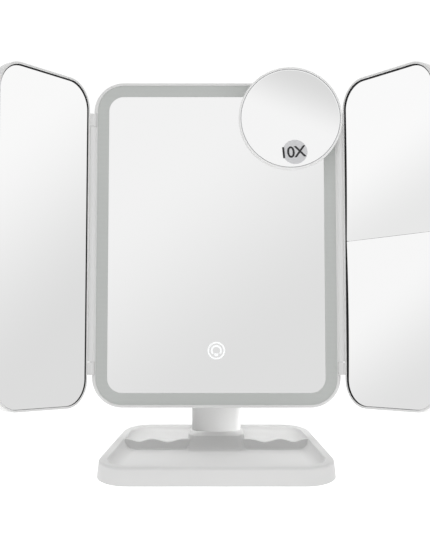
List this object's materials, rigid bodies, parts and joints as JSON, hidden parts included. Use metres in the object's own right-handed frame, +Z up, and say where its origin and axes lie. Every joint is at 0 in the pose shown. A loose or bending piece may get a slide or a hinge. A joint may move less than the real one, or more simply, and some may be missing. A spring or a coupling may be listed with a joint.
{
  "type": "lighted vanity mirror",
  "caption": "Trifold lighted vanity mirror: a tilting main mirror with a frosted light band, two folding side mirrors and a clip-on round magnifier, on an organiser tray.",
  "frame": {"origin": "on the table, straight below the lower front edge of the main mirror, which is the middle of the footprint", "axes": "+X to the mirror's right as the user sees it, +Y towards its back, +Z up; the mirrors face -Y"},
  "size_m": [0.3082, 0.1411, 0.2973],
  "materials": {
    "white_plastic": "moulded white ABS, soft gloss",
    "frosted_acrylic": "frosted light guide, unlit",
    "mirror": "silvered glass",
    "black_foam": "closed-cell foam",
    "rubber": "moulded rubber",
    "clear_silicone": "clear soft silicone",
    "steel": "bright zinc plated",
    "zinc": "die cast, white powder coat",
    "circuit_board": "green solder mask",
    "led": "phosphor-filled silicone on white ceramic",
    "black_plastic": "moulded black ABS",
    "battery": "printed steel can, its density near that of aluminium",
    "wire_red": "PVC insulated wire",
    "label_film": "thin printed film"
  },
  "bodies": {
    "base": {"tray_shell": "white_plastic", "tray_base_cover": "white_plastic", "ballast_plate": "steel", "rubber_feet": "rubber", "base_screws": "steel"},
    "stem": {"stem_front_shell": "white_plastic", "stem_rear_shell": "white_plastic", "stem_screws": "steel", "tilt_arm": "zinc"},
    "head": {"main_front_frame": "white_plastic", "main_rear_cover": "white_plastic", "main_mirror_glass": "mirror", "light_diffuser": "frosted_acrylic", "mirror_backing_plate": "white_plastic", "led_board": "circuit_board", "led_chips": "led", "touch_pad": "black_foam", "touch_board": "circuit_board", "control_board": "circuit_board", "usb_socket": "steel", "power_leads": "wire_red", "battery_box": "black_plastic", "battery_cells": "battery", "battery_contacts": "steel", "housing_screws": "steel", "wing_hinge_pins": "steel", "tilt_bracket": "white_plastic", "bracket_screws": "steel", "tilt_pin": "steel", "tilt_nut": "steel", "friction_washers": "steel"},
    "battery_door": {"battery_door": "white_plastic"},
    "left_wing": {"left_wing_frame": "white_plastic", "left_wing_cover": "white_plastic", "left_wing_liner": "black_foam", "left_wing_mirror": "mirror"},
    "right_wing": {"right_wing_frame": "white_plastic", "right_wing_cover": "white_plastic", "right_wing_liner": "black_foam", "right_upper_mirror": "mirror", "right_lower_mirror": "mirror"},
    "spot_mirror": {"spot_housing": "white_plastic", "spot_mirror_glass": "mirror", "spot_label": "label_film", "spot_suction_cups": "clear_silicone"}
  },
  "joints": [
    {"name": "stem_lift", "type": "slide", "parent": "base", "child": "stem", "axis": [0, 0, 1], "range_m": [0, 0.03]},
    {"name": "head_tilt", "type": "hinge", "parent": "stem", "child": "head", "pos_m": [0, 0.0392, 0.06824], "axis": [-1, 0, 0], "range_deg": [-21, 34]},
    {"name": "left_wing_fold", "type": "hinge", "parent": "head", "child": "left_wing", "pos_m": [-0.0934, 0.02288, 0.16564], "axis": [0, 0.1908, 0.9816], "range_deg": [-53.9, 126.1]},
    {"name": "right_wing_fold", "type": "hinge", "parent": "head", "child": "right_wing", "pos_m": [0.0934, 0.02288, 0.16564], "axis": [0, -0.1908, -0.9816], "range_deg": [-53.9, 30.1]},
    {"name": "spot_mirror_lift", "type": "slide", "parent": "head", "child": "spot_mirror", "axis": [0, -0.9816, 0.1908], "range_m": [0, 0.06]},
    {"name": "battery_door_lift", "type": "slide", "parent": "head", "child": "battery_door", "axis": [0, 0.9816, -0.1908], "range_m": [0, 0.03]}
  ]
}
